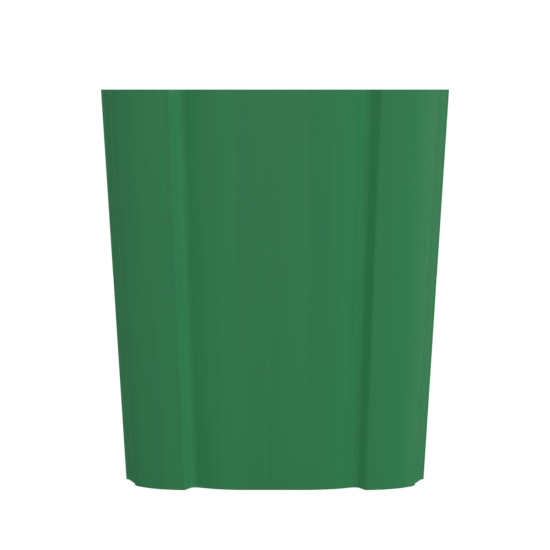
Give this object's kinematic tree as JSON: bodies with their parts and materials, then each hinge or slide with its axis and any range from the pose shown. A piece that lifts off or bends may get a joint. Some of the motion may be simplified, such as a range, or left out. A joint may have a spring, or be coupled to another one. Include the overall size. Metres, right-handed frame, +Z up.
{
  "type": "florist bucket",
  "caption": "Tapered plastic tub that holds cut flowers in water, with raised corner lobes that stiffen its wall and a straight-cut rim.",
  "frame": {"origin": "middle of the foot, on the surface that the bucket stands on", "axes": "+Z up along the bucket's axis, -Y towards the front panel, +X towards the right side panel"},
  "size_m": [0.238, 0.2412, 0.2667],
  "materials": {
    "wall_plastic": "satin green, moulded",
    "floor_plastic": "satin green, moulded",
    "weld_plastic": "satin green, welded"
  },
  "bodies": {
    "root": {"wall_shell": "wall_plastic", "base_pan": "floor_plastic", "weld_bead": "weld_plastic"}
  },
  "joints": []
}
